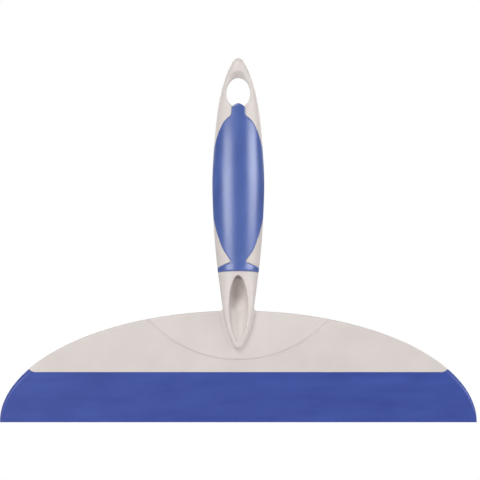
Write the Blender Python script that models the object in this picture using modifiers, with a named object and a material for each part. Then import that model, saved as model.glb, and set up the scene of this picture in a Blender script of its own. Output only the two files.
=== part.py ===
"""Window cleaning squeegee, 300 mm wide, upright with its wiping lip at the bottom.

The frame: +Z runs from the lip up to the hanging end, the front faces -Y, and the origin is
the middle of the lip's lower edge. Four mouldings make the tool. A handle, whose flat foot is
staked into a half-elliptical head plate, carries a soft grip moulded over it, and the plate's
hidden tongue carries a soft blade. The blade is split at its bending line, so that its lip
can swing on a hinge the way the rubber bends.
"""
import math

import bmesh
import bpy
from mathutils import Matrix, Vector

MM = 0.001
GAP = 0.3 * MM                    # between pieces that touch
BEYOND = 10 * MM                  # how far a cutter runs past what it cuts
THROUGH = 30 * MM                 # the same through the thick handle
LAP = 0.2 * MM                    # how far joined shapes run into each other
DEEP_LAP = 3 * MM                 # the same where one grows out of a curved side
STEP = 0.1 * MM                   # keeps faces that join apart, not in one plane
THINNEST = 0.1                    # millimetres, the section where a body along Z closes
END_CAP = 0.05                    # radians of such a body's rounded end left to its flat cap

# Head: half an ellipse standing on the lip.
HEAD_HALF_WIDTH = 150 * MM
HEAD_RISE = 70.1 * MM
HEAD_BELOW = 1.15                 # degrees that its outline runs on below the lip
PLATE_THICKNESS = 4.5 * MM
PLATE_CHAMFER = 0.7 * MM
BLADE_TOP = 31.6 * MM             # where the plate ends and the blade begins
EAR_REACH = 4 * MM                # the blade's corners climb round the plate's ends
EAR_RISE = 2 * MM

# Tongue of the plate inside the blade.
TONGUE_BOTTOM = 20 * MM
TONGUE_HALF_WIDTH = 122 * MM
TONGUE_THICKNESS = 1.5 * MM
LOCK_COUNT = 10
LOCK_PITCH = 24 * MM
LOCK_RADIUS = 2.4 * MM
LOCK_HEIGHT = 26 * MM

# Blade: as thick as the plate at its root, then a wedge down to the thin lip, which bends
# along a line across it.
LIP_THICKNESS = 1.4 * MM
WEDGE_TOP = 27 * MM
BEND_HEIGHT = 16 * MM
KNUCKLE_EASE = 0.8 * MM           # the groove over the lip's round top starts this far up

# Foot of the handle: the lens between the head's outline and an arc, in a recess of the plate.
FOOT_ARC_CENTRE = 115.2 * MM
FOOT_ARC_RADIUS = 76 * MM
FOOT_HALF_CHORD = 62 * MM
FOOT_PROUD = 0.45 * MM
FOOT_SPARE = 1 * MM               # its blank is this much thicker, and is cut flat behind
RECESS_DEPTH = 2.2 * MM
ROOT_FILLET = 2.5 * MM
ROOT_HALF_WIDTH = 9.6 * MM
STAKES = [(-34 * MM, 57.5 * MM), (0, 52 * MM), (34 * MM, 57.5 * MM)]
STAKE_RADIUS = 2.6 * MM
STAKE_HEAD_RADIUS = 4.4 * MM
STAKE_HEAD_HEIGHT = 1.1 * MM
STAKE_SUNK = 0.05 * MM            # the stakes' heads end this far inside the plate's back
RIM_FALL = 0.35 * MM              # how far the head's rim has fallen at the root's fillet

# Handle: half-width and depths along its height, each (height, size) in millimetres.
HANDLE_BOTTOM = 46.3
HANDLE_TOP = 229.2
HALF_WIDTHS = [(46.3, 0), (48.7, 3.2), (54.3, 6.2), (60, 8.3), (70.5, 9.6), (80, 10.9), (101, 13.55),
               (125, 15.5), (150, 16.35), (175, 15.1), (200, 12.4), (218, 7.7), (229.2, 0)]
FRONT_DEPTHS = [(46.3, 2.6), (47.6, 4.2), (50, 5), (55, 5.8), (62, 6.6), (80, 8), (101, 9.5),
                (125, 10.8), (150, 11.2), (175, 9.8), (200, 6.6), (218, 4.3), (229.2, 0)]
BACK_DEPTHS = [(46.3, 2.2), (70.4, 2.2), (76, 3.6), (84, 6), (92, 8), (101, 9.4),
               (125, 10.8), (150, 11.2), (175, 9.8), (200, 6.6), (218, 4.3), (229.2, 0)]
WIDEST_LINES = [(46.3, -2), (70, -2), (90, 0), (229.2, 0)]

# Opening at the handle's root, and the bore that cores out the handle above it.
SCOOP_BOTTOM = 48.9
SCOOP_TOP = 92
SCOOP_HALF_WIDTHS = [(48.9, 0), (51, 2.2), (55, 3.9), (62, 5.4), (69, 5.9), (80, 5), (92, 0)]
SCOOP_DEPTHS = [(48.9, 0), (50.5, 1.9), (55, 3), (62, 4.5), (70.2, 5.6), (74, 8), (82, 10.2),
                (88, 9.6), (92, 0)]
MOUTH_LIFT = 3                    # the scoop's cutter stands this far out of its mouth
BORE_RADII = (2.8 * MM, 2.4 * MM)
BORE_ENDS = (Vector((0, -2.6 * MM, 83 * MM)), Vector((0, 2.2 * MM, 158 * MM)))

# Hanging hole: an upright ellipse whose lower end is squared off for the grip's tab.
HOLE_CENTRE = 207 * MM
HOLE_HALF_WIDTH = 7.5 * MM
HOLE_HALF_HEIGHT = 9.6 * MM
HOLE_FLAT = 5.1 * MM
HOLE_BOTTOM = 197.8 * MM

# Grip: the soft pad, its tab under the hole and its collar, as (half-width, height) in
# millimetres down the right side. Corners are marked; the rest is smooth.
GRIP_SKIN = 1.8 * MM
GRIP_PROUD = 0.35 * MM
CORE_BOTTOM = 84                  # the body under the grip runs past the grip's ends
CORE_TOP = 226
GRIP_OUTLINE = [(0, 200.4, "round"), (3.1, 199.6, "round"), (4.5, 198.2, "corner"),
                (4.5, 192.6, "corner"), (7.9, 189.8, "round"), (11.3, 184.5, "round"),
                (13.3, 177, "round"), (14.5, 172, "round"), (18.5, 169, "corner"),
                (18.5, 131, "corner"), (14.8, 127.5, "round"), (13.5, 123, "round"),
                (11.3, 114.2, "round"), (8.2, 106.6, "round"), (4.2, 101, "corner"),
                (8.5, 99.6, "round"), (15.5, 97, "corner"), (15.5, 93.5, "corner"),
                (7.5, 94.8, "round"), (0, 95.2, "round")]


def start_empty():
    """Remove whatever the file holds and make the two collections."""
    for old in list(bpy.data.objects):
        bpy.data.objects.remove(old, do_unlink=True)
    collections = []
    for name in ("window_squeegee", "cutters"):
        collection = bpy.data.collections.new(name)
        bpy.context.scene.collection.children.link(collection)
        collections.append(collection)
    return collections


def material(name, colour, roughness):
    """A Principled material, its colour in linear light."""
    made = bpy.data.materials.new(name)
    made.use_nodes = True
    shader = made.node_tree.nodes["Principled BSDF"]
    shader.inputs["Base Color"].default_value = (*colour, 1)
    shader.inputs["Roughness"].default_value = roughness
    shader.inputs["Metallic"].default_value = 0
    return made


def smooth_through(points):
    """A curve through (place, size) points that never overshoots them.

    Sizes are joined by their squares, so a shape that runs down to nothing ends round.
    """
    places = [place for place, size in points]
    values = [size * abs(size) for place, size in points]
    steps = [b - a for a, b in zip(places, places[1:])]
    rises = [(b - a) / step for a, b, step in zip(values, values[1:], steps)]
    slopes = [rises[0]]
    for before, after in zip(rises, rises[1:]):
        level = before * after <= 0
        slopes.append(0 if level else 2 * before * after / (before + after))
    slopes.append(rises[-1])

    def size_at(place):
        place = min(max(place, places[0]), places[-1])
        i = max(k for k in range(len(steps)) if places[k] <= place)
        t = (place - places[i]) / steps[i]
        value = (values[i] * (1 + 2 * t) * (1 - t) ** 2 + values[i + 1] * t * t * (3 - 2 * t)
                 + steps[i] * t * (1 - t) * (slopes[i] * (1 - t) - slopes[i + 1] * t))
        return math.copysign(math.sqrt(abs(value)), value)

    return size_at


def arc(centre_x, centre_z, radius_x, radius_z, start, end, count):
    """Points along an elliptical arc, its angles in degrees from +X."""
    angles = [math.radians(start + (end - start) * i / count) for i in range(count + 1)]
    return [(centre_x + radius_x * math.cos(a), centre_z + radius_z * math.sin(a))
            for a in angles]


def mesh_from_curve(curve_object, name, collection):
    """The curve as a closed mesh object that takes booleans; the curve is removed."""
    graph = bpy.context.evaluated_depsgraph_get()
    mesh = bpy.data.meshes.new_from_object(curve_object.evaluated_get(graph))
    bm = bmesh.new()
    bm.from_mesh(mesh)
    bmesh.ops.remove_doubles(bm, verts=bm.verts, dist=0.001 * MM)
    bm.to_mesh(mesh)
    bm.free()
    placing = curve_object.matrix_world.copy()
    bpy.data.objects.remove(curve_object, do_unlink=True)
    made = bpy.data.objects.new(name, mesh)
    made.matrix_world = placing
    collection.objects.link(made)
    return made


def flat_curve(name, points, thickness, placing, collection, corners=None):
    """A flat closed outline with a thickness, turned and placed by a matrix.

    Without corners the outline is a polygon. With them it is a smooth curve, and corners
    says for each point whether the curve turns sharply there.
    """
    curve = bpy.data.curves.new(name, "CURVE")
    curve.dimensions = "2D"
    curve.fill_mode = "BOTH"
    curve.extrude = thickness / 2
    curve.resolution_u = 3
    spline = curve.splines.new("BEZIER" if corners else "POLY")
    if corners:
        spline.bezier_points.add(len(points) - 1)
        for knot, point, corner in zip(spline.bezier_points, points, corners):
            knot.co = (*point, 0)
            handle = "VECTOR" if corner else "AUTO"
            knot.handle_left_type = handle
            knot.handle_right_type = handle
    else:
        spline.points.add(len(points) - 1)
        for knot, point in zip(spline.points, points):
            knot.co = (*point, 0, 1)
    spline.use_cyclic_u = True
    drawn = bpy.data.objects.new(name, curve)
    bpy.context.scene.collection.objects.link(drawn)
    drawn.matrix_world = placing
    bpy.context.view_layer.update()
    return mesh_from_curve(drawn, name, collection)


def front_view_slab(name, points, front, back, collection, corners=None):
    """An outline of (x, z) points drawn as seen from the front, from depth front to back."""
    placing = Matrix.Translation((0, (front + back) / 2, 0)) @ Matrix.Rotation(math.pi / 2, 4, "X")
    return flat_curve(name, points, back - front, placing, collection, corners)


def side_view_bar(name, points, half_length, collection):
    """A profile of (y, z) points, run along X to both sides of the middle."""
    placing = Matrix(((0, 0, 1, 0), (1, 0, 0, 0), (0, 1, 0, 0), (0, 0, 0, 1)))
    return flat_curve(name, points, 2 * half_length, placing, collection)


def boolean(target, operation, tool):
    """Cut, join or keep the common part; the tool stays as a hidden wire guide."""
    step = target.modifiers.new(operation.lower() + "_" + tool.name, "BOOLEAN")
    step.operation = operation
    step.solver = "EXACT"
    step.object = tool
    tool.hide_render = True
    tool.display_type = "WIRE"


def long_body(name, low, high, sections, sides, rings, collection):
    """A body along Z, shaped from a ringed cylinder by sections(height in mm).

    sections gives half-width, front y, back y and the widest line's y, all in millimetres.
    The rings crowd together towards both ends, where the body closes.
    """
    bm = bmesh.new()
    bmesh.ops.create_cone(bm, cap_ends=True, segments=sides, radius1=1, radius2=1, depth=2)
    lengthwise = [edge for edge in bm.edges if abs(edge.verts[0].co.z - edge.verts[1].co.z) > 1]
    bmesh.ops.subdivide_edges(bm, edges=lengthwise, cuts=rings - 1, use_grid_fill=True)
    for vert in bm.verts:
        along = END_CAP + (math.pi - 2 * END_CAP) * (vert.co.z + 1) / 2
        share = (math.cos(END_CAP) - math.cos(along)) / (2 * math.cos(END_CAP))
        height = low + (high - low) * share
        inside = low + (high - low) * (0.001 + 0.998 * share)
        half_width, front, back, middle = sections(inside)
        depth = (front - middle) if vert.co.y < 0 else (back - middle)
        vert.co = Vector((vert.co.x * half_width, middle + abs(vert.co.y) * depth, height)) * MM
    mesh = bpy.data.meshes.new(name)
    bm.to_mesh(mesh)
    bm.free()
    made = bpy.data.objects.new(name, mesh)
    collection.objects.link(made)
    return made


def handle_sections(offset):
    """The handle's section at a height, grown or shrunk by an offset in millimetres."""
    half_width = smooth_through(HALF_WIDTHS)
    front = smooth_through(FRONT_DEPTHS)
    back = smooth_through(BACK_DEPTHS)
    widest = smooth_through(WIDEST_LINES)

    def sections(z):
        middle = widest(z)
        return (max(half_width(z) + offset, THINNEST), min(-front(z) - offset, middle - THINNEST),
                max(back(z) + offset, middle + THINNEST), middle)

    return sections


def scoop_sections(z):
    """The scoop: open on the handle's front, a half-oval hollow behind it."""
    mouth = -smooth_through(FRONT_DEPTHS)(z)
    half_width = max(smooth_through(SCOOP_HALF_WIDTHS)(z), THINNEST)
    depth = max(smooth_through(SCOOP_DEPTHS)(z), THINNEST)
    return half_width, mouth - MOUTH_LIFT, mouth + depth, mouth


def rod(name, start, end, radii, sides, collection):
    """A round rod from start to end, its radii there."""
    along = end - start
    bm = bmesh.new()
    bmesh.ops.create_cone(bm, cap_ends=True, segments=sides, radius1=radii[0],
                          radius2=radii[1], depth=along.length)
    mesh = bpy.data.meshes.new(name)
    bm.to_mesh(mesh)
    bm.free()
    made = bpy.data.objects.new(name, mesh)
    turn = along.to_track_quat("Z", "Y").to_matrix().to_4x4()
    made.matrix_world = Matrix.Translation((start + end) / 2) @ turn
    collection.objects.link(made)
    return made


def head_outline(grow=0.0):
    """Half an ellipse, closed a little below the lip's edge."""
    return arc(0, 0, HEAD_HALF_WIDTH + grow, HEAD_RISE + grow, -HEAD_BELOW, 180 + HEAD_BELOW, 72)


def head_half_width(height):
    return HEAD_HALF_WIDTH * math.sqrt(1 - (height / HEAD_RISE) ** 2)


def lower_edge_of_plate(shift):
    """The seam between plate and blade, from right to left: straight, with rising ends."""
    start = head_half_width(BLADE_TOP + EAR_RISE) - EAR_REACH
    radius = (EAR_REACH ** 2 + EAR_RISE ** 2) / (2 * EAR_RISE)
    right = arc(start, BLADE_TOP + shift + radius, radius, radius, -30, -90, 5)
    return right + [(-x, z) for x, z in reversed(right)]


def foot_outline(grow):
    """The lens of the handle's foot, running past the head's outline at the top."""
    half_chord = math.degrees(math.asin(FOOT_HALF_CHORD / FOOT_ARC_RADIUS))
    lower = arc(0, FOOT_ARC_CENTRE, FOOT_ARC_RADIUS + grow, FOOT_ARC_RADIUS + grow,
                -90 - half_chord, -90 + half_chord, 28)
    above = HEAD_RISE + BEYOND
    return lower + [(lower[-1][0], above), (lower[0][0], above)]


def closed_off(edge, height):
    """The seam's points closed past the head's sides at a height, above it or below it."""
    side = HEAD_HALF_WIDTH + BEYOND
    return edge + [(-side, edge[-1][1]), (-side, height), (side, height), (side, edge[0][1])]


def disc(name, centre, radius, front, back, sides, cutters):
    """A round slab seen from the front."""
    rim = arc(*centre, radius, radius, 0, 360 - 360 / sides, sides - 1)
    return front_view_slab(name, rim, front, back, cutters)


def lock_centres():
    """The middles of the lock holes, in a row along the tongue."""
    return [((i - (LOCK_COUNT - 1) / 2) * LOCK_PITCH, LOCK_HEIGHT) for i in range(LOCK_COUNT)]


def tongue_outline(grow):
    """The tongue's rectangle, running up into the plate."""
    side, top = TONGUE_HALF_WIDTH + grow, BLADE_TOP + DEEP_LAP + grow
    return [(-side, top), (-side, TONGUE_BOTTOM - grow), (side, TONGUE_BOTTOM - grow), (side, top)]


def make_plate(parts, cutters, finish):
    """Half-elliptical plate with the foot's recess in front and the tongue below."""
    half = PLATE_THICKNESS / 2
    blank = front_view_slab("head_plate", head_outline(), -half, half, parts)
    rounded = blank.modifiers.new("edge_chamfer", "BEVEL")
    rounded.width = PLATE_CHAMFER
    rounded.segments = 1
    rounded.angle_limit = math.radians(60)

    below = closed_off(lower_edge_of_plate(0), -BEYOND)
    boolean(blank, "DIFFERENCE", front_view_slab("plate_end", below, -BEYOND, BEYOND, cutters))
    boolean(blank, "DIFFERENCE",
            front_view_slab("foot_recess", foot_outline(GAP), -BEYOND, RECESS_DEPTH - half, cutters))
    for number, stake in enumerate(STAKES, 1):
        boolean(blank, "DIFFERENCE",
                disc(f"stake_hole_{number}", stake, STAKE_RADIUS + GAP, -BEYOND, BEYOND, 24, cutters))
        boolean(blank, "DIFFERENCE",
                disc(f"stake_sink_{number}", stake, STAKE_HEAD_RADIUS + GAP,
                     half - STAKE_HEAD_HEIGHT - GAP, BEYOND, 24, cutters))

    boolean(blank, "UNION",
            front_view_slab("tongue", tongue_outline(0), -TONGUE_THICKNESS / 2,
                            TONGUE_THICKNESS / 2, cutters))
    for number, centre in enumerate(lock_centres(), 1):
        boolean(blank, "DIFFERENCE",
                disc(f"lock_hole_{number}", centre, LOCK_RADIUS + GAP, -half, half, 12, cutters))
    blank.data.materials.append(finish)
    return blank


def root_web(side, front, back, cutters):
    """The fillet between the foot's rim and one side of the handle."""
    middle_x = side * (ROOT_HALF_WIDTH + ROOT_FILLET)
    middle_z = HEAD_RISE + ROOT_FILLET - RIM_FALL
    curve = arc(middle_x, middle_z, ROOT_FILLET, ROOT_FILLET, 270, 180 if side > 0 else 360, 5)
    inner, below = side * (ROOT_HALF_WIDTH - DEEP_LAP), HEAD_RISE - DEEP_LAP
    web = curve + [(inner, curve[-1][1] + LAP), (inner, below), (curve[0][0], below)]
    return front_view_slab(f"root_web_{side + 1}", web, front, back, cutters)


def make_handle(parts, cutters, finish):
    """Handle with its foot, stakes, hanging hole, scoop, and the grip's recess."""
    half = PLATE_THICKNESS / 2
    handle = long_body("handle", HANDLE_BOTTOM, HANDLE_TOP, handle_sections(0), 28, 34, parts)

    front = -half - FOOT_PROUD
    back = -half + RECESS_DEPTH - GAP
    foot = front_view_slab("foot", foot_outline(0), front, back + FOOT_SPARE, cutters)
    boolean(foot, "INTERSECT",
            front_view_slab("foot_limit", head_outline(), -BEYOND, BEYOND, cutters))
    boolean(handle, "UNION", foot)

    behind = front_view_slab("behind_foot", head_outline(GAP), back, THROUGH, cutters)
    boolean(handle, "DIFFERENCE", behind)
    for side in (-1, 1):
        boolean(handle, "UNION", root_web(side, front + STEP, back - STEP, cutters))
    for number, stake in enumerate(STAKES, 1):
        boolean(handle, "UNION",
                disc(f"stake_{number}", stake, STAKE_RADIUS, back - LAP, half - LAP, 24, cutters))
        boolean(handle, "UNION",
                disc(f"stake_head_{number}", stake, STAKE_HEAD_RADIUS, half - STAKE_HEAD_HEIGHT,
                     half - STAKE_SUNK, 24, cutters))

    boolean(handle, "DIFFERENCE",
            front_view_slab("hanging_hole", hole_outline(GAP), -THROUGH, THROUGH, cutters))
    boolean(handle, "DIFFERENCE", make_grip_recess(cutters))
    boolean(handle, "DIFFERENCE",
            long_body("scoop", SCOOP_BOTTOM, SCOOP_TOP, scoop_sections, 20, 18, cutters))
    boolean(handle, "DIFFERENCE", rod("core_bore", *BORE_ENDS, BORE_RADII, 12, cutters))
    handle.data.materials.append(finish)
    return handle


def hole_outline(drop):
    """The ellipse down to where it is as wide as its squared-off lower end; drop lowers that."""
    lean = math.degrees(math.acos(HOLE_FLAT / HOLE_HALF_WIDTH))
    rim = arc(0, HOLE_CENTRE, HOLE_HALF_WIDTH, HOLE_HALF_HEIGHT, -lean, 180 + lean, 24)
    bottom = HOLE_BOTTOM - drop
    return rim + [(-HOLE_FLAT, bottom), (HOLE_FLAT, bottom)]


def grip_outline(grow):
    """The grip's points as seen from the front, moved outwards, and which are corners."""
    right = [(x * MM, z * MM, turn == "corner") for x, z, turn in GRIP_OUTLINE]
    whole = right + [(-x, z, corner) for x, z, corner in reversed(right) if x > 0]
    points = [Vector((x, z)) for x, z, corner in whole]
    moved = []
    for before, here, after in zip(points[-1:] + points, points, points[1:] + points[:1]):
        leaving = (after - here).normalized()
        along = ((here - before).normalized() + leaving).normalized()
        outwards = Vector((-along.y, along.x)) / along.dot(leaving)
        moved.append(tuple(here + outwards * grow))
    return moved, [corner for x, z, corner in whole]


def make_grip_core(name, inset, drop, cutters):
    """The handle's inner body under the grip, with the hanging hole cut through it."""
    core = long_body(name, CORE_BOTTOM, CORE_TOP, handle_sections(-inset / MM), 28, 26, cutters)
    boolean(core, "DIFFERENCE",
            front_view_slab(name + "_hole", hole_outline(drop), -THROUGH, THROUGH, cutters))
    return core


def make_grip_recess(cutters):
    """What the grip fills in the handle, with clearance all round."""
    points, corners = grip_outline(GAP)
    recess = front_view_slab("grip_recess", points, -THROUGH, THROUGH, cutters, corners)
    boolean(recess, "DIFFERENCE", make_grip_core("recess_core", GRIP_SKIN + GAP, GAP, cutters))
    return recess


def make_grip(parts, cutters, finish):
    """Soft grip: front and back pads joined at the sides, tab under the hole, collar."""
    grip = long_body("grip", HANDLE_BOTTOM, HANDLE_TOP, handle_sections(GRIP_PROUD / MM), 28, 34,
                     parts)
    points, corners = grip_outline(0)
    boolean(grip, "INTERSECT",
            front_view_slab("grip_pattern", points, -THROUGH, THROUGH, cutters, corners))
    boolean(grip, "DIFFERENCE", make_grip_core("grip_core", GRIP_SKIN, 0, cutters))
    grip.data.materials.append(finish)
    return grip


def blade_half_thickness(height):
    return (LIP_THICKNESS + (PLATE_THICKNESS - LIP_THICKNESS) * min(height / WEDGE_TOP, 1)) / 2


def make_blade_root(parts, cutters, finish):
    """The blade's upper part, moulded round the tongue and through its lock holes."""
    socket = blade_half_thickness(BEND_HEIGHT) + GAP
    start = math.degrees(math.acos(blade_half_thickness(BEND_HEIGHT + KNUCKLE_EASE) / socket))
    groove = arc(0, BEND_HEIGHT, socket, socket, start, 180 - start, 10)
    top = BLADE_TOP + EAR_RISE + DEEP_LAP
    half = PLATE_THICKNESS / 2
    profile = groove + [(-half, WEDGE_TOP), (-half, top), (half, top), (half, WEDGE_TOP)]
    root = side_view_bar("blade_root", profile, HEAD_HALF_WIDTH + BEYOND, parts)
    boolean(root, "INTERSECT",
            front_view_slab("root_limit", head_outline(), -BEYOND, BEYOND, cutters))
    above = closed_off(lower_edge_of_plate(-GAP), BLADE_TOP + 3 * BEYOND)
    boolean(root, "DIFFERENCE", front_view_slab("root_top", above, -BEYOND, BEYOND, cutters))

    thick = TONGUE_THICKNESS / 2 + GAP
    slot = front_view_slab("tongue_slot", tongue_outline(GAP), -thick, thick, cutters)
    boolean(root, "DIFFERENCE", slot)
    for number, centre in enumerate(lock_centres(), 1):
        boolean(root, "UNION",
                disc(f"peg_{number}", centre, LOCK_RADIUS, -thick - LAP, thick + LAP, 12, cutters))
    root.data.materials.append(finish)
    return root


def make_blade_lip(parts, cutters, finish):
    """The blade's lower part, round-topped about the bending line, its origin on that line."""
    radius = blade_half_thickness(BEND_HEIGHT)
    tip = LIP_THICKNESS / 2
    knuckle = arc(0, BEND_HEIGHT, radius, radius, 0, 180, 10)
    profile = [(y, z - BEND_HEIGHT) for y, z in knuckle + [(-tip, 0), (tip, 0)]]
    lip = side_view_bar("blade_lip", profile, HEAD_HALF_WIDTH + BEYOND, parts)
    lip.matrix_world = Matrix.Translation((0, 0, BEND_HEIGHT)) @ lip.matrix_world
    boolean(lip, "INTERSECT",
            front_view_slab("lip_limit", head_outline(), -BEYOND, BEYOND, cutters))
    lip.data.materials.append(finish)
    return lip


def shade(made, angle):
    """Smooth shading that keeps real edges sharp."""
    made.data.shade_smooth()
    made.data.set_sharp_from_angle(angle=math.radians(angle))


def build():
    parts, cutters = start_empty()
    moulded = material("grey_polypropylene", (0.68, 0.63, 0.60), 0.45)
    soft_grip = material("blue_soft_grip", (0.085, 0.12, 0.40), 0.42)
    soft_blade = material("blue_blade_rubber", (0.06, 0.095, 0.34), 0.55)
    shade(make_plate(parts, cutters, moulded), 35)
    shade(make_handle(parts, cutters, moulded), 35)
    shade(make_grip(parts, cutters, soft_grip), 35)
    shade(make_blade_root(parts, cutters, soft_blade), 35)
    shade(make_blade_lip(parts, cutters, soft_blade), 35)


build()
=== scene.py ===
"""Window cleaning squeegee: the finished tool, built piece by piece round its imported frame.

Metres. +Z runs from the wiping lip up the handle to the hanging end, the front faces -Y, and
the origin is the middle of the lip's lower edge.
"""

import math

import bmesh
import bpy
from mathutils import Matrix, Vector


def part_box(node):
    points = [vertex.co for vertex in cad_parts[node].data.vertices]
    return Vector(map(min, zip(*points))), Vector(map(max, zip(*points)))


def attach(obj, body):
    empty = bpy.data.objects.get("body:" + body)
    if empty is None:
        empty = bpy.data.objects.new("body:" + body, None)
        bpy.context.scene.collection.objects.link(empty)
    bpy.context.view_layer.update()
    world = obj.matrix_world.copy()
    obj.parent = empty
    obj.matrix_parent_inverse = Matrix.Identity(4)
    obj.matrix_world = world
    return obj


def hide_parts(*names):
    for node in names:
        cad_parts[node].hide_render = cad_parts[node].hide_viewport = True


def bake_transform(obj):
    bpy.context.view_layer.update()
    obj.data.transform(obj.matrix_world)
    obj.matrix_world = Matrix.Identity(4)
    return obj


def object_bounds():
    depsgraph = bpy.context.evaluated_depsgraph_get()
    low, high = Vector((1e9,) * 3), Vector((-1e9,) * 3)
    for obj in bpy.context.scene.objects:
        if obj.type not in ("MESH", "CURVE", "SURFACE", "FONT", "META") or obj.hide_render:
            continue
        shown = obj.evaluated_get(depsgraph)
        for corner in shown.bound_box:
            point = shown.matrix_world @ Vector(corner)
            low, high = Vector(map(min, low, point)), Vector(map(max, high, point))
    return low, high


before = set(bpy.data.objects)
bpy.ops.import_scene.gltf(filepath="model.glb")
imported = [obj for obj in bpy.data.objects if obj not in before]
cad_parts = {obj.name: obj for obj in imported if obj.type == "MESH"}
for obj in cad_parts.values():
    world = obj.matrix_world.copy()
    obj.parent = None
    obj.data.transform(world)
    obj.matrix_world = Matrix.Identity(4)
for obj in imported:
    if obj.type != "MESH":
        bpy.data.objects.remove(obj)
cad_low, cad_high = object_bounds()
scene = bpy.context.scene
MM = 0.001


# ---- Camera ----
# Straight in front of the tool and level with its middle, far enough off to keep its true
# proportions, with a long lens that just takes in the whole lip.
CAMERA_DISTANCE = 1.6
VIEW_MARGIN = 1.0065                      # the view is this much wider than the lip
VIEW_WIDTH = VIEW_MARGIN * (cad_high.x - cad_low.x)
VIEW_SHIFT = 1.07 * MM                    # the tool stands a little left of the middle
SENSOR_WIDTH = 36

eye = bpy.data.cameras.new("camera")
eye.sensor_width = SENSOR_WIDTH
eye.lens = SENSOR_WIDTH * CAMERA_DISTANCE / VIEW_WIDTH
camera = bpy.data.objects.new("camera", eye)
camera.location = (VIEW_SHIFT, -CAMERA_DISTANCE, (cad_low.z + cad_high.z) / 2)
camera.rotation_euler = (math.radians(90), 0, 0)
scene.collection.objects.link(camera)
scene.camera = camera


# ---- Head plate ----
# Half an ellipse of polypropylene, moulded flat with a rounded rim. A recess in its front takes
# the handle's foot, counterbored holes take the foot's stakes, and a thin tongue below, with
# lock holes, is what the blade is moulded round.
HEAD_HALF_WIDTH = cad_high.x
HEAD_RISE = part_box("head_plate")[1].z
PLATE_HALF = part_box("head_plate")[1].y
RIM_RADIUS = 1.1 * MM
SEAM_RADIUS = 0.2 * MM
SEAM_HEIGHT = 31.6 * MM
EAR_REACH = 4 * MM                        # the blade's corners climb round the plate's ends
EAR_RISE = 2 * MM
RECESS_FLOOR = -0.05 * MM
GROOVE_DEPTH = 0.35 * MM                  # a shallow groove marks the seam round the foot
GROOVE_BOTTOM = 0.75 * MM                 # its floor's width beside the foot,
GROOVE_SLOPE = 0.6 * MM                   # and the spread of its sloped outer wall
FOOT_ARC_CENTRE = 115.2 * MM
FOOT_ARC_RADIUS = 76 * MM
FOOT_HALF_CHORD = 62 * MM
FOOT_CLOSE = -0.15 * MM                   # the recess grips the foot's edge
FIT_GAP = 0.05 * MM                       # round the lock pegs, and above the plate's rim
STAKE_GAP = 0.3 * MM                      # round the studs and their heads
STAKES = [(-34 * MM, 57.5 * MM), (0, 52 * MM), (34 * MM, 57.5 * MM)]
STAKE_RADIUS = 2.6 * MM
STAKE_HEAD_RADIUS = 4.4 * MM
STAKE_SINK = 1.4 * MM
TONGUE_BOTTOM = 20 * MM
TONGUE_HALF_WIDTH = 122 * MM
TONGUE_HALF = 0.75 * MM
TONGUE_LAP = 1 * MM                       # it runs up into the plate
LOCK_COUNT = 10
LOCK_PITCH = 24 * MM
LOCK_RADIUS = 2.4 * MM
LOCK_HEIGHT = 26 * MM
BEYOND = 12 * MM                          # how far cutters run past what they cut
EASE_STEPS = 4
SHEET_WELD = 0.004 * MM


def piece(name, bm):
    """A named object of the mesh, its faces turned outwards and shaded smooth."""
    bmesh.ops.recalc_face_normals(bm, faces=bm.faces)
    mesh = bpy.data.meshes.new(name)
    bm.to_mesh(mesh)
    bm.free()
    mesh.shade_smooth()
    made = bpy.data.objects.new(name, mesh)
    scene.collection.objects.link(made)
    return made


def settle(made):
    """Turn the piece's modifiers into its mesh."""
    bpy.context.view_layer.update()
    evaluated = made.evaluated_get(bpy.context.evaluated_depsgraph_get())
    shaped = bpy.data.meshes.new_from_object(evaluated)
    made.modifiers.clear()
    made.data = shaped
    shaped.name = made.name


def combine(body, operation, *tools):
    """Cut the tools from the body, or join them to it, and leave only the body."""
    for tool in tools:
        step = body.modifiers.new(tool.name, "BOOLEAN")
        step.operation = operation
        step.solver = "EXACT"
        step.object = tool
    settle(body)
    for tool in tools:
        bpy.data.objects.remove(tool, do_unlink=True)


def arc(centre, radius, start, end, count):
    """Points (x, z) along a circle's arc, its angles in degrees from +X."""
    angles = [math.radians(start + (end - start) * i / count) for i in range(count + 1)]
    return [(centre[0] + radius * math.cos(a), centre[1] + radius * math.sin(a)) for a in angles]


def circle(centre, radius, count):
    """Points (x, z) all round a circle, the last one short of the first."""
    return arc(centre, radius, 0, 360 * (count - 1) / count, count - 1)


def grown(outline, by):
    """A closed anticlockwise outline, moved outwards all round."""
    moved = []
    for i, point in enumerate(outline):
        here = Vector(point)
        arriving = (here - Vector(outline[i - 1])).normalized()
        leaving = (Vector(outline[(i + 1) % len(outline)]) - here).normalized()
        along = (arriving + leaving).normalized()
        mitre = by / max(along.dot(arriving), 0.5)      # no spike at a sharp corner
        moved.append((here.x + along.y * mitre, here.y - along.x * mitre))
    return moved


def slab(name, outline, front, back, flare=0.0, ease=0.0):
    """A plate of an (x, z) outline between two depths, its front edge flared out or eased."""
    bm = bmesh.new()
    ends = []
    for depth, points in ((front + ease, grown(outline, flare)), (back, outline)):
        corners = [bm.verts.new((x, depth, z)) for x, z in points]
        ends.append(bm.faces.new(corners))
    bmesh.ops.bridge_loops(bm, edges=bm.edges[:])
    bmesh.ops.recalc_face_normals(bm, faces=bm.faces)
    turns = [math.radians(90 - 90 * i / EASE_STEPS) for i in range(EASE_STEPS + 1)] if ease else []
    for a, b in zip(turns, turns[1:]):
        bmesh.ops.inset_region(bm, faces=[ends[0]], thickness=ease * (math.sin(a) - math.sin(b)),
                               depth=ease * (math.cos(b) - math.cos(a)), use_even_offset=True)
    return piece(name, bm)


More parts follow.
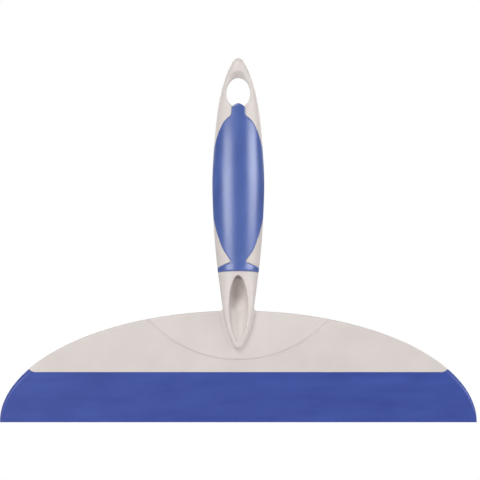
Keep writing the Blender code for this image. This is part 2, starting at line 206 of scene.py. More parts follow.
def rounding(distance, radius):
    """How far a rounded edge of that radius falls away at a distance from the edge."""
    short = max(radius - max(distance, 0), 0)
    return radius - math.sqrt(radius * radius - short * short)


def head_height(x):
    """The head's outline is half an ellipse: its rim's height at x."""
    return HEAD_RISE * math.sqrt(max(1 - (x / HEAD_HALF_WIDTH) ** 2, 0))


def head_half_width(z):
    """Its half-width at height z."""
    return HEAD_HALF_WIDTH * math.sqrt(max(1 - (z / HEAD_RISE) ** 2, 0))


PLATE_HALF_WIDTH = head_half_width(SEAM_HEIGHT + EAR_RISE)


def seam_height(x):
    """The seam between plate and blade: straight, its last stretch curving up to the rim."""
    share = max(abs(x) - (PLATE_HALF_WIDTH - EAR_REACH), 0) / EAR_REACH
    return SEAM_HEIGHT + EAR_RISE * share ** 2


def flat_sheet(name, columns, rows, place, half_thickness):
    """A closed flat piece: a grid laid out by place(u, v), u and v from -1 to 1, as its front and
    back, half_thickness(x, z) away from the middle. Its lines crowd towards the edges."""
    bm = bmesh.new()
    bmesh.ops.create_grid(bm, x_segments=columns, y_segments=rows, size=1)
    for vert in bm.verts:
        u = math.sin(vert.co.x * math.pi / 2)
        v = math.sin(vert.co.y * math.pi / 2)
        x, z = place(u, v)
        vert.co = (x, 0, z)
    front = bm.verts[:]
    other = bmesh.ops.extrude_face_region(bm, geom=bm.faces[:])
    back = [part for part in other["geom"] if isinstance(part, bmesh.types.BMVert)]
    for verts, side in ((front, -1), (back, 1)):
        for vert in verts:
            vert.co.y = side * half_thickness(vert.co.x, vert.co.z)
    bmesh.ops.remove_doubles(bm, verts=bm.verts, dist=SHEET_WELD)
    return piece(name, bm)


def plate_place(u, v):
    """The plate lies between the seam and the rim."""
    x = u * PLATE_HALF_WIDTH
    low = seam_height(x)
    return x, low + (v + 1) / 2 * (head_height(x) - low)


def plate_half_thickness(x, z):
    """Full thickness, less the rounding of the rim and the eased edge along the seam."""
    steepness = (HEAD_RISE / HEAD_HALF_WIDTH) ** 2 * abs(x) / max(head_height(x), MM)
    to_rim = (head_height(x) - z) / math.hypot(1, steepness)
    return PLATE_HALF - max(rounding(to_rim, RIM_RADIUS), rounding(z - seam_height(x), SEAM_RADIUS))


def foot_outline():
    """The lens of the handle's foot, run on past the head's rim."""
    half_chord = math.degrees(math.asin(FOOT_HALF_CHORD / FOOT_ARC_RADIUS))
    lower = arc((0, FOOT_ARC_CENTRE), FOOT_ARC_RADIUS, -90 - half_chord, -90 + half_chord,
                count=120)
    above = HEAD_RISE + BEYOND
    return lower + [(lower[-1][0], above), (lower[0][0], above)]


plate = flat_sheet("head_plate_shell", 260, 70, plate_place, plate_half_thickness)
bed = grown(foot_outline(), FOOT_CLOSE)
recess = slab("recess", bed, -BEYOND, RECESS_FLOOR)
groove = slab("recess_groove", grown(bed, GROOVE_BOTTOM), -PLATE_HALF - GROOVE_DEPTH,
              -PLATE_HALF + GROOVE_DEPTH, flare=GROOVE_SLOPE)
combine(plate, "DIFFERENCE", recess)
combine(plate, "DIFFERENCE", groove)
for number, stake in enumerate(STAKES):
    hole = slab(f"stake_hole_{number}", circle(stake, STAKE_RADIUS + STAKE_GAP, count=48),
                -BEYOND, BEYOND)
    sink = slab(f"stake_sink_{number}", circle(stake, STAKE_HEAD_RADIUS + STAKE_GAP, count=64),
                PLATE_HALF - STAKE_SINK, BEYOND)
    combine(plate, "DIFFERENCE", hole, sink)


def tongue_slab(name, grow):
    """The tongue, or the slot for it, grown all round but at the top."""
    side, low, top = TONGUE_HALF_WIDTH + grow, TONGUE_BOTTOM - grow, SEAM_HEIGHT + TONGUE_LAP
    return slab(name, [(-side, low), (side, low), (side, top), (-side, top)],
                -TONGUE_HALF - grow, TONGUE_HALF + grow)


combine(plate, "UNION", tongue_slab("tongue", 0))
lock_centres = [((i - (LOCK_COUNT - 1) / 2) * LOCK_PITCH, LOCK_HEIGHT) for i in range(LOCK_COUNT)]
locks = [slab(f"lock_{i}", circle(centre, LOCK_RADIUS + FIT_GAP, count=32), -BEYOND, BEYOND)
         for i, centre in enumerate(lock_centres)]
combine(plate, "DIFFERENCE", *locks)
plate.data.set_sharp_from_angle(angle=math.radians(32))


def linear(hex_colour):
    """An sRGB hex colour as linear light."""
    shares = [int(hex_colour[i:i + 2], 16) / 255 for i in (1, 3, 5)]
    return [s / 12.92 if s <= 0.04045 else ((s + 0.055) / 1.055) ** 2.4 for s in shares] + [1]


def add_node(owner, kind, settings, links=()):
    """Add a node. Settings fill its sockets or its own properties, links feed its sockets."""
    made = owner.node_tree.nodes.new(kind)
    for key, value in settings.items():
        if isinstance(key, int) or key in made.inputs:
            made.inputs[key].default_value = value
        else:
            setattr(made, key, value)
    for key, source in links:
        owner.node_tree.links.new(source, made.inputs[key])
    return made


def moulded_plastic(name, light, dark, flow_size, grain_size):
    """Satin injection-moulded polypropylene. The melt's flow leaves faint clouds in tone and
    gloss some 25 mm across, and the steel of the mould a fine even grain, which is drawn
    coarser than its real 0.1 mm so that it shows."""
    made = bpy.data.materials.new(name)
    made.use_nodes = True
    shader = made.node_tree.nodes["Principled BSDF"]
    shader.inputs["IOR"].default_value = 1.49
    place = add_node(made, "ShaderNodeTexCoord", {}).outputs["Object"]
    clouds = add_node(made, "ShaderNodeTexNoise",
                      {"Scale": 1 / flow_size, "Detail": 3, "Roughness": 0.55},
                      [("Vector", place)])
    tone = add_node(made, "ShaderNodeMapRange", {"From Min": 0.35, "From Max": 0.65},
                    [("Value", clouds.outputs["Fac"])])
    colour = add_node(made, "ShaderNodeMix",
                      {"data_type": "RGBA", 6: linear(dark), 7: linear(light)},
                      [(0, tone.outputs["Result"])])
    gloss = add_node(made, "ShaderNodeMapRange", {"To Min": 0.36, "To Max": 0.46},
                     [("Value", clouds.outputs["Fac"])])
    grain = add_node(made, "ShaderNodeTexNoise", {"Scale": 1 / grain_size, "Detail": 2},
                     [("Vector", place)])
    relief = add_node(made, "ShaderNodeBump", {"Strength": 0.25, "Distance": 0.05 * MM},
                      [("Height", grain.outputs["Fac"])])
    made.node_tree.links.new(colour.outputs[2], shader.inputs["Base Color"])
    made.node_tree.links.new(gloss.outputs["Result"], shader.inputs["Roughness"])
    made.node_tree.links.new(relief.outputs["Normal"], shader.inputs["Normal"])
    return made


plate.data.materials.append(moulded_plastic("plate_satin_polypropylene", "#d8d0cc", "#d3cbc7",
                                            25 * MM, 0.7 * MM))
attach(plate, "tool")
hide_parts("head_plate")


# ---- Handle ----
# A spindle of the same polypropylene, moulded with the lens-shaped foot that lies in the plate.
# Its root is a blunt nose with a scooped opening, which cores out the thick section, and its
# far end has the hanging hole. Every edge is softened as the mould leaves it. The lists give
# heights and sizes in millimetres.
HALF_WIDTHS = [(46.3, 0), (47.2, 2.1), (49.5, 3.4), (52, 4.5), (58.4, 7), (64.7, 8.6), (70.5, 9.6),
               (80, 10.9), (101, 13.55), (125, 15.5), (150, 16.35), (175, 15.1), (200, 12.4),
               (218, 7.7), (229.2, 0)]
FRONT_DEPTHS = [(46.3, 3.6), (46.9, 5.3), (48, 5.7), (52, 6.1), (62, 7), (80, 8.1), (101, 9.5),
                (125, 10.8), (150, 11.2), (175, 9.8), (200, 6.6), (218, 4.3), (229.2, 0)]
BACK_DEPTHS = [(46.3, 2.2), (70.4, 2.2), (76, 3.6), (84, 6), (92, 8), (101, 9.4),
               (125, 10.8), (150, 11.2), (175, 9.8), (200, 6.6), (218, 4.3), (229.2, 0)]
WIDEST_LINES = [(46.3, -2), (70, -2), (90, 0), (229.2, 0)]
SQUARENESS = [(46.3, 4.6), (64, 4.6), (82, 2.6), (95, 2), (229.2, 2)]     # 2 is an ellipse
SCOOP_HALF_WIDTHS = [(49.9, 0), (52, 2), (58.4, 4.2), (64.7, 5.4), (71, 5.9), (77.4, 5.65),
                     (83.7, 4.9), (87, 4.05), (90.2, 2.7), (92.6, 0)]
SCOOP_DEPTHS = [(49.9, 0), (51.5, 1.9), (55, 3), (62, 4.5), (70.2, 5.6), (74, 8), (82, 10.8),
                (88, 10.8), (92.6, 0)]
SCOOP_SQUARENESS = 2.4
MOUTH_LIFT = 3                            # the scoop's cutter stands out of the nose
BORE_START = Vector((0, -2.6, 83)) * MM
BORE_END = Vector((0, 2.2, 158)) * MM
BORE_RADIUS = 2.8 * MM
BORE_TAPER = 0.85
HOLE_CENTRE = 207 * MM
HOLE_HALF_WIDTH = 7.5 * MM
HOLE_HALF_HEIGHT = 9.6 * MM
FOOT_FRONT = -2.4 * MM
FOOT_BACK = -0.12 * MM
FOOT_LAP = 1 * MM                         # its blank runs back into what is cut away
FOOT_TRIM = 0.1 * MM
FOOT_RIM_STEPS = 32
FOOT_EDGE = 0.45 * MM
ROOT_FILLET = 2.4 * MM
ROOT_HALF_WIDTH = 9.6 * MM
ROOT_OVERLAP = 0.6                        # the foot runs under this share of the root
THROUGH = 30 * MM
THIN = 0.05                               # millimetres, where a section closes
TIP_INSET = 0.0004                        # the end rings are shaped this far inside the ends
HANDLE_VOXEL = 0.5 * MM


def curve_through(points):
    """A curve through (place, size) points that never overshoots them. Sizes are joined by
    their squares, so a shape that runs down to nothing ends round."""
    places = [place for place, size in points]
    values = [size * abs(size) for place, size in points]
    steps = [b - a for a, b in zip(places, places[1:])]
    rises = [(b - a) / step for a, b, step in zip(values, values[1:], steps)]
    slopes = [rises[0]]
    for before, after in zip(rises, rises[1:]):
        slopes.append(0 if before * after <= 0 else 2 * before * after / (before + after))
    slopes.append(rises[-1])

    def size_at(place):
        place = min(max(place, places[0]), places[-1])
        i = max(k for k in range(len(steps)) if places[k] <= place)
        t = (place - places[i]) / steps[i]
        value = (values[i] * (1 + 2 * t) * (1 - t) ** 2 + values[i + 1] * t * t * (3 - 2 * t)
                 + steps[i] * t * (1 - t) * (slopes[i] * (1 - t) - slopes[i + 1] * t))
        return math.copysign(math.sqrt(abs(value)), value)

    return size_at


def long_body(name, low, high, sections, sides, rings):
    """A closed body along Z, shaped from a ringed cylinder. sections(height) gives half-width,
    front, back, the widest line's depth and the squareness, lengths in millimetres."""
    bm = bmesh.new()
    bmesh.ops.create_cone(bm, cap_ends=True, segments=sides, radius1=1, radius2=1, depth=2)
    lengthwise = [edge for edge in bm.edges if abs(edge.verts[0].co.z - edge.verts[1].co.z) > 1]
    bmesh.ops.subdivide_edges(bm, edges=lengthwise, cuts=rings - 1, use_grid_fill=True)
    shapes = {}
    for vert in bm.verts:
        share = (1 + math.sin(vert.co.z * math.pi / 2)) / 2
        level = round(vert.co.z, 5)
        if level not in shapes:
            inside = TIP_INSET + (1 - 2 * TIP_INSET) * share
            shapes[level] = sections(low + (high - low) * inside)
        half_width, front, back, middle, squareness = shapes[level]
        depth = (front - middle) if vert.co.y < 0 else (back - middle)
        across = math.copysign(abs(vert.co.x) ** (2 / squareness), vert.co.x)
        out = abs(vert.co.y) ** (2 / squareness)
        height = low + (high - low) * share
        vert.co = Vector((across * half_width, middle + out * depth, height)) * MM
    return piece(name, bm)


handle_half_width = curve_through(HALF_WIDTHS)
handle_front = curve_through(FRONT_DEPTHS)
handle_back = curve_through(BACK_DEPTHS)
handle_widest = curve_through(WIDEST_LINES)
handle_squareness = curve_through(SQUARENESS)
scoop_half_width = curve_through(SCOOP_HALF_WIDTHS)
scoop_depth = curve_through(SCOOP_DEPTHS)


def handle_sections(z):
    """What long_body asks for, at a height up the handle."""
    middle = handle_widest(z)
    return (max(handle_half_width(z), THIN), min(-handle_front(z), middle - THIN),
            max(handle_back(z), middle + THIN), middle, handle_squareness(z))


def scoop_sections(z):
    """The same for the scoop, which is sunk in the handle's front."""
    mouth = -handle_front(z)
    return (max(scoop_half_width(z), THIN), mouth - MOUTH_LIFT, mouth + max(scoop_depth(z), THIN),
            mouth, SCOOP_SQUARENESS)


def hole_outline(half_width, half_height):
    """The hanging hole is an upright oval."""
    turns = [math.radians(3 * i) for i in range(120)]
    return [(half_width * math.cos(a), HOLE_CENTRE + half_height * math.sin(a)) for a in turns]


def foot_rim():
    """The foot's outline: the lens up to the head's rim, filleted into the handle's sides."""
    out = ROOT_HALF_WIDTH + ROOT_FILLET
    turn = (out, head_height(out) + ROOT_FILLET)
    lower = [(x, z) for x, z in foot_outline()[:-2] if z < head_height(x) - FOOT_TRIM]
    last = lower[-1][0]
    rim = [last + (turn[0] - last) * i / FOOT_RIM_STEPS for i in range(1, FOOT_RIM_STEPS)]
    right = [(x, head_height(x)) for x in rim] + arc(turn, ROOT_FILLET, 270, 180, count=10)
    right.append((ROOT_OVERLAP * ROOT_HALF_WIDTH, turn[1] + FOOT_LAP))
    return lower + right + [(-x, z) for x, z in reversed(right)]


def soften(made, reach, passes):
    """Smooth the surface again and again where reach(place) says so."""
    bm = bmesh.new()
    bm.from_mesh(made.data)
    near = [vert for vert in bm.verts if reach(vert.co)]
    for repeat in range(passes):
        bmesh.ops.smooth_vert(bm, verts=near, factor=0.5, use_axis_x=True, use_axis_y=True,
                              use_axis_z=True)
    bm.to_mesh(made.data)
    bm.free()


def mould(made, voxel, passes):
    """Rebuild the piece as one even skin with the small round edges of a moulding."""
    skin = made.modifiers.new("skin", "REMESH")
    skin.mode = "VOXEL"
    skin.voxel_size = voxel
    skin.use_smooth_shade = True
    settle(made)
    soften(made, lambda place: True, passes)


handle = long_body("handle_shell", HALF_WIDTHS[0][0], cad_high.z / MM, handle_sections,
                   sides=144, rings=260)
foot = slab("foot", foot_rim(), FOOT_FRONT, FOOT_BACK + FOOT_LAP, ease=FOOT_EDGE)
combine(handle, "UNION", foot)
head_rim = [(HEAD_HALF_WIDTH * math.cos(math.radians(a)), HEAD_RISE * math.sin(math.radians(a)))
            for a in range(181)]
behind = slab("behind_foot", grown(head_rim, FIT_GAP), FOOT_BACK, THROUGH)
scoop = long_body("scoop", SCOOP_HALF_WIDTHS[0][0], SCOOP_HALF_WIDTHS[-1][0], scoop_sections,
                  sides=96, rings=90)
bore_line = BORE_END - BORE_START
bm = bmesh.new()
bmesh.ops.create_cone(bm, cap_ends=True, segments=48, radius1=BORE_RADIUS,
                      radius2=BORE_TAPER * BORE_RADIUS, depth=bore_line.length,
                      matrix=Matrix.Translation((BORE_START + BORE_END) / 2)
                      @ bore_line.to_track_quat("Z", "Y").to_matrix().to_4x4())
combine(handle, "DIFFERENCE", behind, scoop, piece("bore", bm))
hole = slab("hanging_hole", hole_outline(HOLE_HALF_WIDTH, HOLE_HALF_HEIGHT), -THROUGH, THROUGH)
combine(handle, "DIFFERENCE", hole)

# The grip's form is settled here too, in millimetres, because its bed is moulded into the handle.
GRIP_SKIN = 1.8                           # it lies this deep in the handle
GRIP_PROUD = 0.35                         # and stands this far out of it
GRIP_GAP = 0.08                           # behind the grip, and
GRIP_CLOSE = -0.45                        # round its edges, where the two shots run together
GRIP_BEYOND = 1.5                         # the bed's cutter stands out of the handle
GRIP_BOTTOM = 95.2                        # height of the collar's lower edge in front,
COLLAR_DROP = 1.7                         # and how much lower it is at the sides,
COLLAR_FADE = 5                           # a drop that dies out over this height
COLLAR_BEAD = 0.45                        # its face swells by this much,
COLLAR_MIDDLE = 95                        # most at this height,
COLLAR_REACH = 4                          # and dies out this far above
COLLAR_HALF_WIDTHS = [(97, 14), (98.5, 10.5), (100.8, 4.3)]
PAD_HALF_WIDTHS = [(100.8, 4.3), (104.1, 6.5), (109.1, 9.9), (114.2, 11.9), (124.2, 14.9),
                   (130.5, 16.2), (150, 18), (168.5, 16.1), (178.3, 13.9), (184.5, 11.5),
                   (188.4, 9.4), (190.9, 7.1), (192.6, 5), (193.6, 4.55), (197.8, 4.4)]
TAB_HALF_WIDTH = 4.4
TAB_CORNER = 197.8
TAB_PEAK = 200.4
TAB_FOOT = 2                              # its middle starts this far below the corners
TAB_STEPS = 20
TAB_CROWN = 1.67                          # how round its top is, from the middle outwards,
TAB_SHOULDER = 0.6                        # and the same curve taken from its peak down
GRIP_WELD = 0.01 * MM
SIDE_LAP = math.radians(91.5)             # the front and back halves run into each other
collar_half_width = curve_through(COLLAR_HALF_WIDTHS)
pad_half_width = curve_through(PAD_HALF_WIDTHS)


def grip_reach(z, grow):
    """The angle round the handle that the grip covers to each side of the middle."""
    if z < COLLAR_HALF_WIDTHS[0][0]:
        return SIDE_LAP
    if z > TAB_CORNER:
        covered = TAB_HALF_WIDTH * (max(TAB_PEAK - z, 0) / (TAB_PEAK - TAB_CORNER)) ** TAB_SHOULDER
    elif z > PAD_HALF_WIDTHS[0][0]:
        covered = pad_half_width(z)
    else:
        covered = collar_half_width(z)
    share = (covered + grow) / handle_half_width(z)
    return SIDE_LAP if share >= 1 else math.asin(share)


def grip_layer(name, side, outer, inner, grow):
    """Half of the grip, front or back, as a thick curved sheet between two offsets from the
    handle's surface, grown at its edges for the bed."""
    bm = bmesh.new()
    bmesh.ops.create_grid(bm, x_segments=56, y_segments=250, size=1)
    other = bmesh.ops.extrude_face_region(bm, geom=bm.faces[:])
    deep = {part for part in other["geom"] if isinstance(part, bmesh.types.BMVert)}
    for vert in bm.verts:
        u, v = vert.co.x, (vert.co.y + 1) / 2
        low, high = GRIP_BOTTOM - grow, TAB_PEAK + grow
        z = low + (high - low) * v
        z -= COLLAR_DROP * u * u * max(1 - (z - low) / COLLAR_FADE, 0)
        turn = u * grip_reach(z, grow)
        bead = COLLAR_BEAD * max(1 - ((z - COLLAR_MIDDLE) / COLLAR_REACH) ** 2, 0)
        offset = -inner if vert in deep else (outer + bead) * math.cos(turn)
        depth = handle_front(z) if side < 0 else handle_back(z)
        vert.co = Vector(((handle_half_width(z) + offset) * math.sin(turn),
                          handle_widest(z) + side * (depth + offset) * math.cos(turn), z)) * MM
    bmesh.ops.remove_doubles(bm, verts=bm.verts, dist=GRIP_WELD)
    return piece(name, bm)


def tab_block(name, grow):
    """The tab's middle, which joins front and back through the hanging hole."""
    half, corner, peak = (TAB_HALF_WIDTH + grow) * MM, TAB_CORNER * MM, (TAB_PEAK + grow) * MM
    shares = [1 - 2 * i / TAB_STEPS for i in range(TAB_STEPS + 1)]
    ridge = [(half * share, peak - (peak - corner) * abs(share) ** TAB_CROWN) for share in shares]
    base = corner - TAB_FOOT * MM
    depth = (handle_front(TAB_CORNER) - GRIP_SKIN / 2) * MM
    return slab(name, [(-half, base), (half, base)] + ridge, -depth, depth)


for side in (-1, 1):
    combine(handle, "DIFFERENCE",
            grip_layer("grip_bed", side, GRIP_BEYOND, GRIP_SKIN + GRIP_GAP, GRIP_CLOSE))
combine(handle, "DIFFERENCE", tab_block("tab_bed", GRIP_CLOSE))
mould(handle, HANDLE_VOXEL, passes=4)

NOSE_TOP = 71                             # the fillet round the nose, in millimetres: heights,
NOSE_TIP = 48.5
FILLET_DEPTHS = (-4.4, -2)                # depths,
FILLET_REACH = 3                          # how far out from the nose's side,
FILLET_SHARE = 0.8                        # and the share of its half-width that it starts at


def on_nose(place):
    """Where the nose rises from the foot."""
    x, y, z = place / MM
    half = handle_half_width(z)
    beside = abs(x) > FILLET_SHARE * half or z < NOSE_TIP
    level = FILLET_DEPTHS[0] < y < FILLET_DEPTHS[1]
    return z < NOSE_TOP and level and beside and abs(x) < half + FILLET_REACH


def by_the_hole(place):
    """The handle's far end, from the hole's lower edge up."""
    return place.z > HOLE_CENTRE - HOLE_HALF_HEIGHT


soften(handle, on_nose, passes=8)
soften(handle, by_the_hole, passes=9)

DISH_REACH = 4.3 * MM                     # the hole's front edge is cut back from this far above
DISH_SLOPE = 1.05
DISH_NARROWING = 2.8                      # how quickly that cut fades to the sides
RIM_EASE = 0.8 * MM                       # the hole's edges are rounded over this width,
RIM_DROP = 0.8                            # by this share of a full round
bm = bmesh.new()
bm.from_mesh(handle.data)
for vert in bm.verts:
    across, rise = vert.co.x, vert.co.z - HOLE_CENTRE
    out = max(math.hypot(across, rise), MM)
    ring = max(math.hypot(across / HOLE_HALF_WIDTH, rise / HOLE_HALF_HEIGHT), 0.1)
    from_edge = out * (1 - 1 / ring)
    drop = RIM_DROP * rounding(from_edge, RIM_EASE)
    if vert.co.y < 0:
        limit = DISH_REACH * max(rise / out, 0) ** DISH_NARROWING
        drop = max(drop, DISH_SLOPE * (limit - max(from_edge, 0)))
    if from_edge > -MM and drop > 0:
        share = min(abs(vert.co.y) / (handle_front(vert.co.z / MM) * MM), 1)
        vert.co.y -= math.copysign(drop * share, vert.co.y)
bm.to_mesh(handle.data)
bm.free()
soften(handle, by_the_hole, passes=2)
handle.data.materials.append(moulded_plastic("handle_satin_polypropylene", "#dad2ce", "#d5cdc9",
                                             25 * MM, 0.7 * MM))
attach(handle, "tool")
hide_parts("handle")


# ---- Stakes ----
# Three round studs on the foot's back, of one shot with the handle. They pass through the plate
# and their ends are formed hot into flat domed heads, sunk in the plate's counterbores.
STAKE_DOME = 0.25 * MM
STAKE_BELOW = 0.15 * MM                   # the heads end this far below the plate's back
STAKE_ROOT = 0.3 * MM                     # and the studs start this far inside the foot
STAKE_BEVEL = 0.3 * MM
STAKE_ROUND = 0.25 * MM
STAKE_WELD = 0.002 * MM
bm = bmesh.new()
for x, z in STAKES:
    root, top = FOOT_BACK - STAKE_ROOT, PLATE_HALF - STAKE_BELOW
    under = PLATE_HALF - STAKE_SINK + STAKE_BELOW
    profile = [(0, root), (STAKE_RADIUS, root), (STAKE_RADIUS, under),
               (STAKE_HEAD_RADIUS - STAKE_BEVEL, under),
               (STAKE_HEAD_RADIUS, under + STAKE_BEVEL),
               (STAKE_HEAD_RADIUS, top - STAKE_DOME - STAKE_ROUND),
               (STAKE_HEAD_RADIUS - STAKE_ROUND, top - STAKE_DOME),
               (0.8 * STAKE_HEAD_RADIUS, top - 0.6 * STAKE_DOME),
               (0.5 * STAKE_HEAD_RADIUS, top - 0.1 * STAKE_DOME),
               (0.2 * STAKE_HEAD_RADIUS, top - 0.15 * STAKE_DOME),
               (0, top - 0.6 * STAKE_DOME)]        # the hot tool leaves a dimple in the middle
    verts = [bm.verts.new((x + radius, depth, z)) for radius, depth in profile]
    edges = [bm.edges.new(pair) for pair in zip(verts, verts[1:])]
    bmesh.ops.spin(bm, geom=verts + edges, cent=(x, 0, z), axis=(0, 1, 0), dvec=(0, 0, 0),
                   angle=2 * math.pi, steps=64, use_merge=True)
bmesh.ops.remove_doubles(bm, verts=bm.verts, dist=STAKE_WELD)
stakes = piece("handle_stakes", bm)
stakes.data.set_sharp_from_angle(angle=math.radians(40))
stakes.data.materials.append(handle.data.materials[0])
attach(stakes, "tool")


# ---- Grip ----
# A soft shot of blue thermoplastic elastomer, moulded over the handle into its bed: a pad front
# and back, joined round the sides, with a tab through the hanging hole, and a neck and collar.
GRIP_VOXEL = 0.42 * MM

bm = bmesh.new()
for part in (grip_layer("grip_front", -1, GRIP_PROUD, GRIP_SKIN, 0),
             grip_layer("grip_back", 1, GRIP_PROUD, GRIP_SKIN, 0), tab_block("grip_tab", 0)):
    bm.from_mesh(part.data)
    bpy.data.objects.remove(part, do_unlink=True)
grip = piece("grip_skin", bm)
mould(grip, GRIP_VOXEL, passes=4)


def soft_elastomer(name, light, dark, patch_size, flow, grain_size, roughness, specular):
    """Soft-touch elastomer: a close matt skin with a dull gloss. Handling and flow leave it
    slightly patchy, in patches that the flow scales draw out along its length, and its fine
    grain is drawn coarser than life so that it shows."""
    made = bpy.data.materials.new(name)
    made.use_nodes = True
    shader = made.node_tree.nodes["Principled BSDF"]
    shader.inputs["IOR"].default_value = 1.58
    shader.inputs["Specular IOR Level"].default_value = specular
    place = add_node(made, "ShaderNodeTexCoord", {}).outputs["Object"]
    drawn = add_node(made, "ShaderNodeMapping", {"Scale": flow}, [("Vector", place)])
    patches = add_node(made, "ShaderNodeTexNoise",
                       {"Scale": 1 / patch_size, "Detail": 4, "Roughness": 0.6},
                       [("Vector", drawn.outputs["Vector"])])
    tone = add_node(made, "ShaderNodeMapRange", {"From Min": 0.3, "From Max": 0.7},
                    [("Value", patches.outputs["Fac"])])
    colour = add_node(made, "ShaderNodeMix",
                      {"data_type": "RGBA", 6: linear(dark), 7: linear(light)},
                      [(0, tone.outputs["Result"])])
    gloss = add_node(made, "ShaderNodeMapRange",
                     {"To Min": roughness - 0.05, "To Max": roughness + 0.05},
                     [("Value", patches.outputs["Fac"])])
    grain = add_node(made, "ShaderNodeTexNoise", {"Scale": 1 / grain_size, "Detail": 2},
                     [("Vector", place)])
    relief = add_node(made, "ShaderNodeBump", {"Strength": 0.3, "Distance": 0.05 * MM},
                      [("Height", grain.outputs["Fac"])])
    made.node_tree.links.new(colour.outputs[2], shader.inputs["Base Color"])
    made.node_tree.links.new(gloss.outputs["Result"], shader.inputs["Roughness"])
    made.node_tree.links.new(relief.outputs["Normal"], shader.inputs["Normal"])
    return made


grip.data.materials.append(soft_elastomer("grip_soft_touch_elastomer", "#4662ad", "#39549b",
                                          12 * MM, (1, 1, 0.6), 0.6 * MM, 0.33, 1.0))
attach(grip, "tool")
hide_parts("grip")


# ---- Blade ----
# One soft shot of the same elastomer, moulded round the plate's tongue and through its lock
# holes: a wedge as thick as the plate at the seam and thin at the lip, with rounded ends.
LIP_HALF = 0.7 * MM
WEDGE_TOP = 27 * MM                       # above this it is as thick as the plate
END_ROUNDING = 1.1                        # the ends' rounding, of the blade's half thickness
LIP_RADIUS = 0.25 * MM
BLADE_GAP = 0.05 * MM
TOP_PULL = 12                             # how quickly its top rows take up the plate's width
RIM_HOLD = 400                            # and how closely its side edges keep to the rim


def blade_place(u, v):
    """Across to the head's rim, and near the top across as the plate's lower edge is."""
    share = (v + 1) / 2
    z = share * (seam_height(u * PLATE_HALF_WIDTH) - BLADE_GAP)
    side = head_half_width(z)
    pull = share ** TOP_PULL * (1 - abs(u) ** RIM_HOLD)
    return u * (side + (PLATE_HALF_WIDTH - side) * pull), z


def blade_half_thickness(x, z):
    """A wedge, less the rounding of its ends, lip and seam edge."""
    full = LIP_HALF + (PLATE_HALF - LIP_HALF) * min(z / WEDGE_TOP, 1)
    side = head_half_width(z)
    slope = HEAD_HALF_WIDTH / HEAD_RISE * (z / HEAD_RISE) / max(side / HEAD_HALF_WIDTH, 0.1)
    to_side = (side - abs(x)) / math.hypot(1, slope)
    to_seam = seam_height(x) - BLADE_GAP - z
    return full - max(rounding(to_side, END_ROUNDING * full), rounding(z, LIP_RADIUS),
                      rounding(to_seam, SEAM_RADIUS))


blade = flat_sheet("blade", 320, 90, blade_place, blade_half_thickness)
slot = tongue_slab("tongue_slot", BLADE_GAP)
pegs = [slab(f"peg_{i}", circle(centre, LOCK_RADIUS, count=32), -BEYOND, BEYOND)
        for i, centre in enumerate(lock_centres)]
combine(slot, "DIFFERENCE", *pegs)
combine(blade, "DIFFERENCE", slot)
blade.data.set_sharp_from_angle(angle=math.radians(50))
blade.data.materials.append(soft_elastomer("blade_matt_elastomer", "#2a469f", "#1b3890",
                                           14 * MM, (0.4, 1, 1.5), 0.8 * MM, 0.42, 0.6))
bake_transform(blade)
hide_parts("blade_root", "blade_lip")


# ---- Studio ----
# The tool hangs over a pale round floor in soft white light: a key at the upper left, a broad
# box to each side that draws the long highlights down the grip, the right one with a second
# lamp for its gloss alone, weak side fills, and two lamps behind that lighten the edges.
FLOOR_RADIUS = 1.3
FLOOR_HEIGHT = -0.17
MIDDLE = Vector((0, 0, (cad_low.z + cad_high.z) / 2))
BACKDROP_SEEN = 1.0                       # the backdrop is white to the eye,
BACKDROP_LIGHT = 0.19                     # and lights the tool by less

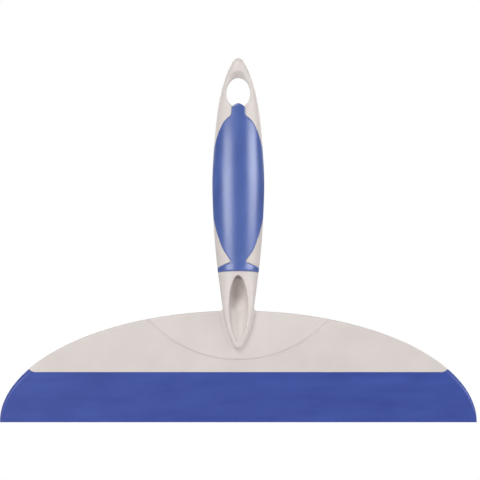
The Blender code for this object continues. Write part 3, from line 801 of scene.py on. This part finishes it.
bm = bmesh.new()
bmesh.ops.create_circle(bm, cap_ends=True, segments=96, radius=FLOOR_RADIUS,
                        matrix=Matrix.Translation((0, 0, FLOOR_HEIGHT)))
floor = piece("floor", bm)
pale = bpy.data.materials.new("pale_floor")
pale.use_nodes = True
pale.node_tree.nodes["Principled BSDF"].inputs["Base Color"].default_value = linear("#dcdbd9")
pale.node_tree.nodes["Principled BSDF"].inputs["Roughness"].default_value = 0.8
floor.data.materials.append(pale)


def softbox(name, azimuth, elevation, distance, width, height, watts, fills=True, shines=True):
    """A rectangular light aimed at the tool; azimuth 0 is in front, positive to the right. It can
    be kept out of the matt light, when it only fills highlights, or out of the highlights."""
    light = bpy.data.lights.new(name, "AREA")
    light.shape = "RECTANGLE"
    light.size = width
    light.size_y = height
    light.energy = watts
    lamp = bpy.data.objects.new(name, light)
    turn, lift = math.radians(azimuth), math.radians(elevation)
    level = math.cos(lift)
    way = Vector((math.sin(turn) * level, -math.cos(turn) * level, math.sin(lift)))
    lamp.location = MIDDLE + way * distance
    lamp.rotation_euler = way.to_track_quat("Z", "Y").to_euler()
    lamp.visible_camera = False
    lamp.visible_diffuse = fills
    lamp.visible_glossy = shines
    scene.collection.objects.link(lamp)


softbox("key", -22, 48, 1.9, 0.8, 0.6, 13.2)
softbox("left_box", -37, 4, 1.5, 0.85, 0.62, 8)
softbox("right_box", 52, 9, 1.5, 0.95, 0.62, 5.5)
softbox("right_shine", 52, 9, 1.4, 0.89, 0.58, 3.9, fills=False)
softbox("left_fill", -80, 10, 1.5, 0.6, 0.8, 0.6, shines=False)
softbox("right_fill", 80, 10, 1.5, 0.6, 0.8, 6, shines=False)
softbox("back_left", -140, 25, 1.9, 0.9, 1.2, 9)
softbox("back_right", 140, 25, 1.9, 0.9, 1.2, 9)

world = bpy.data.worlds.new("studio")
scene.world = world
world.use_nodes = True
seen = add_node(world, "ShaderNodeLightPath", {})
strength = add_node(world, "ShaderNodeMapRange",
                    {"To Min": BACKDROP_LIGHT, "To Max": BACKDROP_SEEN},
                    [("Value", seen.outputs["Is Camera Ray"])])
backdrop = world.node_tree.nodes["Background"]
backdrop.inputs["Color"].default_value = (1, 1, 1, 1)
world.node_tree.links.new(strength.outputs["Result"], backdrop.inputs["Strength"])
scene.view_settings.view_transform = "Standard"
